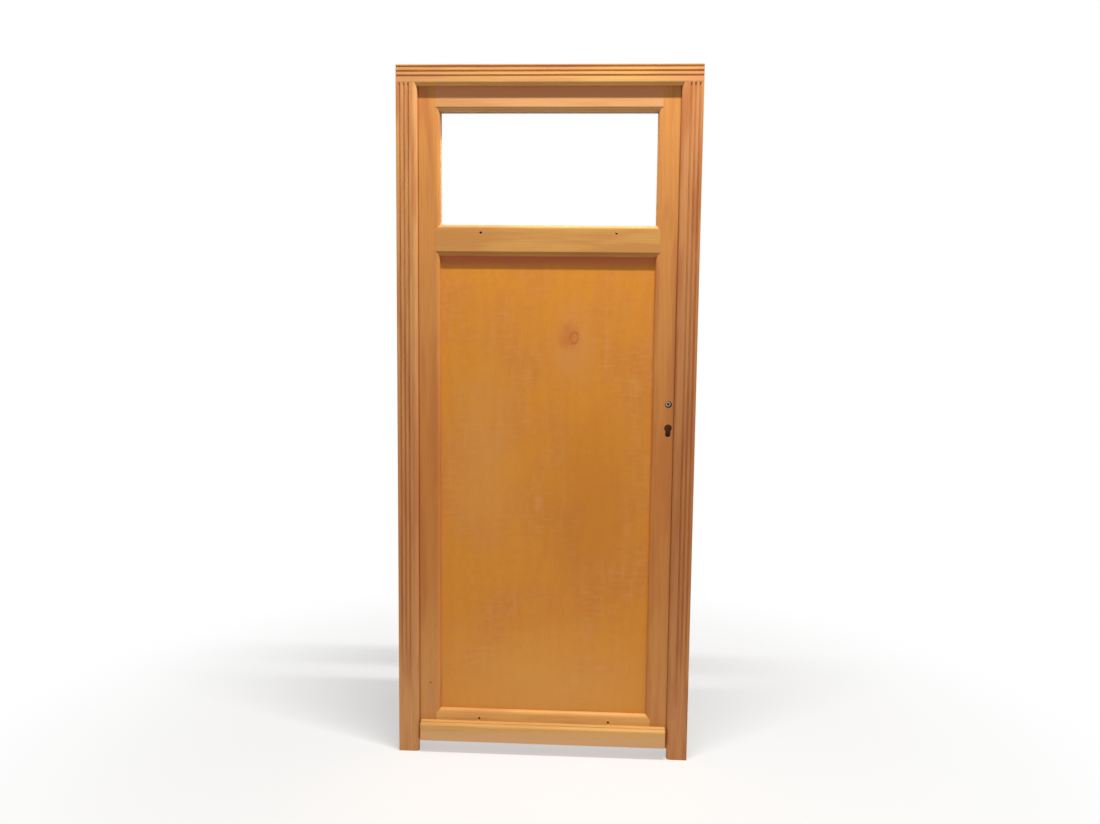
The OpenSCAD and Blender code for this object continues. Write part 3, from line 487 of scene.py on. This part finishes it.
# Weatherboard
# A softwood board with a sloping top, a round nose and a drip groove, let into the foot of the door
# with a tongue. Rain has left its front paler and greyer than the rails.
weather_pine = varnished_softwood(
    "weatherboard_varnished_pine", "#e3af66", "#c28d49", "#d59f5b", "level", (30, 20, 0), 6)
stain_or_painted_shade(weather_pine, (0, -39, 48), (3000, 24, 90), "#e0ae80", 0.8, rough=0.3)
dress(weather_pine, "weatherboard")


# Door panel
# One sheet of varnished plywood in a rebate behind the mouldings, its face veneer peeled from the log.
# The veneer is yellower than the boards, with short pores, faint cross figure and one reddish knot.

# How far the slow bends push the veneer's figure aside
FIGURE_BEND = 180 * MM


def varnished_veneer(name, pale, deep, blush, bare):
    """Peeled face veneer under satin varnish: wide wavy figure, short pores, cloudy cross mottle, and
    pale flecks and streaks where the varnish has worn."""
    material, tree = empty_material(name)
    place = add(tree, "ShaderNodeTexCoord").outputs["Object"]
    # Figure about 45 mm wide, pushed aside by bends about 170 mm wide and 500 mm high
    bend_field = add(tree, "ShaderNodeMapping", {"Vector": place, "Scale": (6, 6, 2)}).outputs["Vector"]
    bend = add(tree, "ShaderNodeTexNoise", {"Vector": bend_field, "Scale": 1, "Detail": 3}).outputs["Color"]
    bent = add(tree, "ShaderNodeVectorMath", {
        "Vector": bend, "Vector_001": (FIGURE_BEND, 0, 0), "Vector_002": place},
        operation="MULTIPLY_ADD").outputs["Vector"]
    figure = add(tree, "ShaderNodeTexWave", {
        "Vector": bent, "Scale": WAVE_LENGTH / (45 * MM), "Distortion": 1.5, "Detail": 2},
        wave_type="BANDS", bands_direction="X", wave_profile="SIN").outputs["Fac"]
    # Clouds 220 mm wide, and four finer layers: width and height in mm, detail and roughness of the noise,
    # the two levels of noise between which the layer comes up, and its strength there
    cloud = add(tree, "ShaderNodeTexNoise", {
        "Vector": place, "Scale": 1 / (220 * MM), "Detail": 2}).outputs["Fac"]
    shares = {"cloud": add(tree, "ShaderNodeMapRange", {
        "Value": cloud, "From Min": 0.4, "From Max": 0.65, "To Max": 0.65},
        interpolation_type="SMOOTHSTEP").outputs["Result"]}
    shares["figure"] = add(tree, "ShaderNodeMapRange", {"Value": figure, "To Max": 0.07}).outputs["Result"]
    noises = {}
    for layer, wide, high, detail, rough, start, full, strength in (
            ("pore", 1.6, 30, 4, 0.6, 0.45, 0.75, 0.38),
            ("mottle", 70, 14, 3, 0.5, 0.45, 0.75, 0.35),
            ("fleck", 40, 11, 1, 0.5, 0.48, 0.75, 0.65),
            ("streak", 22, 110, 1, 0.5, 0.48, 0.8, 0.7)):
        field = add(tree, "ShaderNodeMapping", {
            "Vector": place, "Scale": cell(wide, 0, high)}).outputs["Vector"]
        noises[layer] = add(tree, "ShaderNodeTexNoise", {
            "Vector": field, "Scale": 1, "Detail": detail, "Roughness": rough}).outputs["Fac"]
        shares[layer] = add(tree, "ShaderNodeMapRange", {
            "Value": noises[layer], "From Min": start, "From Max": full,
            "To Max": strength}).outputs["Result"]
    # Flecks and streaks only show in the clouds
    for worn in ("fleck", "streak"):
        shares[worn] = add(tree, "ShaderNodeMath", {
            "Value": shares[worn], "Value_001": shares["cloud"]}, operation="MULTIPLY").outputs["Value"]
    colour = linear(pale)
    for layer, tone in (("cloud", blush), ("figure", deep), ("mottle", blush), ("pore", deep),
                        ("streak", bare), ("fleck", bare)):
        colour = add(tree, "ShaderNodeMix", {
            "Factor_Float": shares[layer], "A_Color": colour, "B_Color": linear(tone)},
            data_type="RGBA").outputs[MIXED]
    gloss = add(tree, "ShaderNodeMapRange", {
        "Value": noises["pore"], "From Min": 0.3, "From Max": 0.7,
        "To Min": 0.38, "To Max": 0.5}).outputs["Result"]
    raised = add(tree, "ShaderNodeBump", {
        "Height": noises["pore"], "Strength": 0.2, "Distance": 0.1 * MM}).outputs["Normal"]
    shader = add(tree, "ShaderNodeBsdfPrincipled", {
        "Base Color": colour, "Roughness": gloss, "Normal": raised, "IOR": 1.5,
        "Specular IOR Level": 0.12, "Coat Weight": 0.05, "Coat Roughness": 0.3}, name="varnish")
    add(tree, "ShaderNodeOutputMaterial", {"Surface": shader.outputs["BSDF"]})
    return material


panel_veneer = varnished_veneer("varnished_plywood_veneer", "#e19334", "#b87023", "#d6863e", "#e0a058")
# Sun has paled the left side and the right side is deeper; the strip under the rail is painted shade, and
# the foot is paler
stain_or_painted_shade(panel_veneer, (-190, 0, 960), (360, 16, 900), "#dd9a52", 0.5, rough=1.2)
stain_or_painted_shade(panel_veneer, (150, 0, 800), (460, 16, 900), "#c4742a", 0.42, rough=1)
# Painted shade: the middle rail's shadow on the strip under it
stain_or_painted_shade(panel_veneer, (0, 0, 1566), (3000, 16, 96), "#c26b43", 0.95)
# Paler towards the foot
stain_or_painted_shade(panel_veneer, (0, 0, 190), (1300, 16, 640), "#e6a95a", 0.5)
# A knot that lies just under the veneer: a pale bloom, a redder heart and a thin rim
stain_or_painted_shade(panel_veneer, (84, 0, 1310), (210, 16, 400), "#db934f", 0.65, rough=1.3)
stain_or_painted_shade(panel_veneer, (70, 0, 1328), (110, 16, 140), "#c76f3a", 0.6, rough=1.2)
stain_or_painted_shade(panel_veneer, (84, 0, 1322), (30, 16, 42), "#b2602a", 0.6, ring=True, rough=1.1)
dress(panel_veneer, "door_panel")


# Glass unit
# Two panes of clear float glass on an aluminium spacer, bedded on tape and standing on rubber blocks.
# The glass is clear, and the white surround shows through it.

# Room left round a pane, and width of the ground bevel on its edges
PANE_SLACK = 0.05 * MM
PANE_GRIND = 0.4 * MM


def float_glass(name, tint):
    """Clear float glass: colourless on its face, with a breath of uneven roughness from cleaning.
    Light from the lamp passes its faces, so that the beads behind it show as wood, but not its edges."""
    material, tree = empty_material(name)
    place = add(tree, "ShaderNodeTexCoord").outputs
    smear = add(tree, "ShaderNodeTexNoise", {
        "Vector": place["Object"], "Scale": 1 / (90 * MM), "Detail": 3}).outputs["Fac"]
    wiped = add(tree, "ShaderNodeMapRange", {
        "Value": smear, "From Min": 0.4, "From Max": 0.8, "To Max": 0.02}).outputs["Result"]
    shader = add(tree, "ShaderNodeBsdfPrincipled", {
        "Base Color": linear(tint), "Roughness": wiped, "IOR": 1.52, "Transmission Weight": 1})
    facing = add(tree, "ShaderNodeSeparateXYZ", {"Vector": place["Normal"]}).outputs["Y"]
    broad = add(tree, "ShaderNodeMath", {"Value": facing}, operation="ABSOLUTE").outputs["Value"]
    lamp_ray = add(tree, "ShaderNodeLightPath").outputs["Is Shadow Ray"]
    passed = add(tree, "ShaderNodeMath", {
        "Value": lamp_ray, "Value_001": broad}, operation="MULTIPLY").outputs["Value"]
    open_way = add(tree, "ShaderNodeBsdfTransparent", {"Color": linear(tint)}).outputs["BSDF"]
    lit = add(tree, "ShaderNodeMixShader", {
        "Fac": passed, "Shader": shader.outputs["BSDF"], "Shader_001": open_way}).outputs["Shader"]
    add(tree, "ShaderNodeOutputMaterial", {"Surface": lit})
    return material


def ground_pane(node, finish):
    """A pane with ground edges in place of a CAD pane. It is a hair smaller all round, so that it only
    just misses the tape and the beads and light finds a way out of the glass."""
    low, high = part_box(node)
    work = bmesh.new()
    bmesh.ops.create_cube(work)
    for vert in work.verts:
        vert.co = [lo + PANE_SLACK if c < 0 else hi - PANE_SLACK for c, lo, hi in zip(vert.co, low, high)]
    bmesh.ops.bevel(work, geom=work.edges[:], offset=PANE_GRIND, segments=1, profile=0.5, affect="EDGES")
    mesh = bpy.data.meshes.new("ground_" + node)
    work.to_mesh(mesh)
    work.free()
    mesh.materials.append(finish)
    pane = bpy.data.objects.new("ground_" + node, mesh)
    bpy.context.scene.collection.objects.link(pane)
    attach(pane, "door")
    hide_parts(node)


clear_glass = float_glass("clear_float_glass", "#ffffff")
# Aluminium as it leaves the mill is pale and dull, and the foam tape is a warm off-white
spacer_metal = plated_steel("mill_finish_aluminium", "#c9cbcc", "#b0b2b4", 0.8, 0.42)
tape_foam = rubber_finish("pale_glazing_tape", "#cdbfae", "#ddd2c4")
for pane_node in ("outer_pane", "inner_pane"):
    ground_pane(pane_node, clear_glass)
dress(spacer_metal, "glass_spacer")
dress(tape_foam, "glazing_tape")
dress(seal_rubber, "setting_blocks")


# Beads
# Eight softwood strips with a round edge, mitred at the corners, that hold the glass and the panel
# from inside. Wire pins fix them to the rails and stiles.
bead_level_pine = varnished_softwood(
    "level_bead_varnished_pine", "#e6b672", "#c79350", "#da9f62", "level", (25, 60, 0), 6)
bead_upright_pine = varnished_softwood(
    "upright_bead_varnished_pine", "#e6b672", "#c79350", "#da9f62", "upright", (-290, 55, 0), 6)
bright_wire = plated_steel("bright_drawn_wire", "#c2c2c0", "#9b9b99", 0.3, 0.3)
for held in ("glass", "panel"):
    dress(bead_level_pine, f"{held}_top_bead", f"{held}_bottom_bead")
    dress(bead_upright_pine, f"{held}_left_bead", f"{held}_right_bead")
dress(bright_wire, "bead_pins")


# Lock
# A mortise lock: a pressed steel body and cover in dark lacquer behind a plated front plate. In the body
# are the follower that the spindle turns, the sprung latch and the dead bolt, cast and nickel plated.
def lacquered_sheet(name, dark, worn):
    """Thin dark lacquer on pressed sheet: smooth, with a fine orange peel and paler rubbed spots."""
    material, tree = empty_material(name)
    place = add(tree, "ShaderNodeTexCoord").outputs["Object"]
    peel = add(tree, "ShaderNodeTexNoise", {
        "Vector": place, "Scale": 1 / (1.5 * MM), "Detail": 2}).outputs["Fac"]
    rub = add(tree, "ShaderNodeTexNoise", {
        "Vector": place, "Scale": 1 / (12 * MM), "Detail": 4}).outputs["Fac"]
    rubbed = add(tree, "ShaderNodeMapRange", {
        "Value": rub, "From Min": 0.5, "From Max": 0.75, "To Max": 0.7}).outputs["Result"]
    colour = add(tree, "ShaderNodeMix", {
        "Factor_Float": rubbed, "A_Color": linear(dark), "B_Color": linear(worn)},
        data_type="RGBA").outputs[MIXED]
    gloss = add(tree, "ShaderNodeMapRange", {
        "Value": rub, "To Min": 0.35, "To Max": 0.55}).outputs["Result"]
    raised = add(tree, "ShaderNodeBump", {
        "Height": peel, "Strength": 0.2, "Distance": 0.05 * MM}).outputs["Normal"]
    shader = add(tree, "ShaderNodeBsdfPrincipled", {
        "Base Color": colour, "Roughness": gloss, "Normal": raised, "IOR": 1.5})
    add(tree, "ShaderNodeOutputMaterial", {"Surface": shader.outputs["BSDF"]})
    return material


case_lacquer = lacquered_sheet("dark_lacquered_sheet", "#3a3733", "#55514b")
# Nickel plate is a warm pale grey
nickel = plated_steel("nickel_plated_casting", "#cfcac0", "#a8a297", 0.5, 0.34)
dress(case_lacquer, "lock_body", "lock_cover")
dress(zinc_plate, "lock_forend")
dress(nickel, "lock_follower", "latch_bolt", "dead_bolt")


# Latch spring
# Bright round wire wound in six turns, held between the back of the lock body and the lug of the latch.
def coil_tree(finish):
    """Geometry nodes for one coil of round wire that runs along X from its start."""
    tree = bpy.data.node_groups.new("wound_wire_coil", "GeometryNodeTree")
    tree.interface.new_socket("Geometry", in_out="INPUT", socket_type="NodeSocketGeometry")
    for label in ("Turns", "Coil Radius", "Wire Radius", "Length"):
        tree.interface.new_socket(label, in_out="INPUT", socket_type="NodeSocketFloat")
    tree.interface.new_socket("Start", in_out="INPUT", socket_type="NodeSocketVector")
    tree.interface.new_socket("Geometry", in_out="OUTPUT", socket_type="NodeSocketGeometry")
    size = add(tree, "NodeGroupInput").outputs
    winding = add(tree, "GeometryNodeCurveSpiral", {
        "Resolution": 28, "Rotations": size["Turns"], "Start Radius": size["Coil Radius"],
        "End Radius": size["Coil Radius"], "Height": size["Length"]}).outputs["Curve"]
    wire = add(tree, "GeometryNodeCurvePrimitiveCircle", {
        "Resolution": 10, "Radius": size["Wire Radius"]}).outputs["Curve"]
    coil = add(tree, "GeometryNodeCurveToMesh", {
        "Curve": winding, "Profile Curve": wire, "Fill Caps": True}).outputs["Mesh"]
    laid = add(tree, "GeometryNodeTransform", {
        "Geometry": coil, "Translation": size["Start"], "Rotation": (0, math.pi / 2, 0)}).outputs["Geometry"]
    real = add(tree, "GeometryNodeRealizeInstances", {"Geometry": laid}).outputs["Geometry"]
    made = add(tree, "GeometryNodeSetMaterial", {"Geometry": real, "Material": finish}).outputs["Geometry"]
    add(tree, "NodeGroupOutput", {"Geometry": made})
    return tree


WIRE_R = 0.35 * MM
SPRING_TURNS = 6.0
spring_low, spring_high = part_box("latch_spring")
spring_mid = [(a + b) / 2 for a, b in zip(spring_low, spring_high)]
wound_spring = grown("wound_latch_spring", coil_tree(bright_wire), bpy.data.meshes.new("coil_seed"), {
    "Turns": SPRING_TURNS, "Coil Radius": (spring_high[1] - spring_low[1]) / 2 - WIRE_R,
    "Wire Radius": WIRE_R, "Length": spring_high[0] - spring_low[0] - 2 * WIRE_R,
    "Start": (spring_low[0] + WIRE_R, spring_mid[1], spring_mid[2])})
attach(wound_spring, "door")
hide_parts("latch_spring")
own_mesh(wound_spring)


# Stage
# A pale floor that keeps the shadow of the posts, a white surround, one lamp high in front and to the
# right, and the camera at eye height a few metres back.
def seen_rays(tree):
    """1 for rays that see a surface straight, in a mirror or through glass, 0 for those that light it."""
    rays = add(tree, "ShaderNodeLightPath").outputs
    mirrored = add(tree, "ShaderNodeMath", {
        "Value": rays["Is Camera Ray"], "Value_001": rays["Is Glossy Ray"]},
        operation="ADD").outputs["Value"]
    return add(tree, "ShaderNodeMath", {
        "Value": mirrored, "Value_001": rays["Is Transmission Ray"]},
        operation="ADD", use_clamp=True).outputs["Value"]


scene = bpy.context.scene
scene.view_settings.view_transform = "Standard"
FLOOR_HALF = 8.0
floor_corners = [(x * FLOOR_HALF, y * FLOOR_HALF, 0) for x, y in ((-1, -1), (1, -1), (1, 1), (-1, 1))]
floor_mesh = bpy.data.meshes.new("pale_floor")
floor_mesh.from_pydata(floor_corners, [], [(0, 1, 2, 3)])
floor = bpy.data.objects.new("pale_floor", floor_mesh)
scene.collection.objects.link(floor)
floor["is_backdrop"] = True
floor_finish, floor_tree = empty_material("pale_studio_floor")
floor_place = add(floor_tree, "ShaderNodeTexCoord").outputs["Object"]
floor_reach = add(floor_tree, "ShaderNodeVectorMath", {
    "Vector": floor_place}, operation="LENGTH").outputs["Value"]
# Seen directly, the floor is half its own shade near the posts and plain white from 2 m away
floor_white = add(floor_tree, "ShaderNodeMapRange", {
    "Value": floor_reach, "From Min": 0.6, "From Max": 2, "To Min": 0.5, "To Max": 1},
    interpolation_type="SMOOTHSTEP").outputs["Result"]
floor_share = add(floor_tree, "ShaderNodeMath", {
    "Value": seen_rays(floor_tree), "Value_001": floor_white}, operation="MULTIPLY").outputs["Value"]
floor_diffuse = add(floor_tree, "ShaderNodeBsdfDiffuse", {"Color": linear("#f4f2ee")}).outputs["BSDF"]
floor_glow = add(floor_tree, "ShaderNodeEmission", {"Color": linear("#ffffff")}).outputs["Emission"]
floor_shader = add(floor_tree, "ShaderNodeMixShader", {
    "Fac": floor_share, "Shader": floor_diffuse, "Shader_001": floor_glow}).outputs["Shader"]
add(floor_tree, "ShaderNodeOutputMaterial", {"Surface": floor_shader})
floor_mesh.materials.append(floor_finish)

# The surround is plain white to the eye and gives the object only soft fill light
FILL_STRENGTH = 0.3
surround = bpy.data.worlds.new("white_surround")
scene.world = surround
surround.use_nodes = True
sky = surround.node_tree
sky.nodes.clear()
fill = add(sky, "ShaderNodeBackground", {
    "Color": linear("#ffffff"), "Strength": FILL_STRENGTH}).outputs["Background"]
white = add(sky, "ShaderNodeBackground", {"Color": linear("#ffffff"), "Strength": 1}).outputs["Background"]
either = add(sky, "ShaderNodeMixShader", {
    "Fac": seen_rays(sky), "Shader": fill, "Shader_001": white}).outputs["Shader"]
add(sky, "ShaderNodeOutputWorld", {"Surface": either})

# The lamp is a tube along X: the shadows of the head and the middle rail put it here
TUBE_LENGTH, TUBE_WIDTH = 1.2, 0.06
TUBE_WATTS = 105
TUBE_AT = (0.3, -0.62, 3.7)
tube_light = bpy.data.lights.new("ceiling_tube", "AREA")
tube_light.shape = "RECTANGLE"
tube_light.size = TUBE_LENGTH
tube_light.size_y = TUBE_WIDTH
tube_light.energy = TUBE_WATTS
tube = bpy.data.objects.new("ceiling_tube", tube_light)
tube.location = TUBE_AT
scene.collection.objects.link(tube)

# The camera was worked out from the corners of the frame in the picture, then turned a little to fit its
# edges. The focal length and the picture's width are in pixels.
SENSOR_MM = 36
FOCAL_LENGTH, PICTURE_WIDTH = 957.5, 1100
EYE_MM = (169.9, -2933.7, 1401)
EYE_TURN = (84.004, -0.614, 3.129)
view = bpy.data.cameras.new("eye_height_camera")
view.sensor_width = SENSOR_MM
view.lens = SENSOR_MM * FOCAL_LENGTH / PICTURE_WIDTH
camera = bpy.data.objects.new("eye_height_camera", view)
camera.location = [c * MM for c in EYE_MM]
camera.rotation_euler = [math.radians(a) for a in EYE_TURN]
scene.collection.objects.link(camera)
scene.camera = camera

low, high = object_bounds()
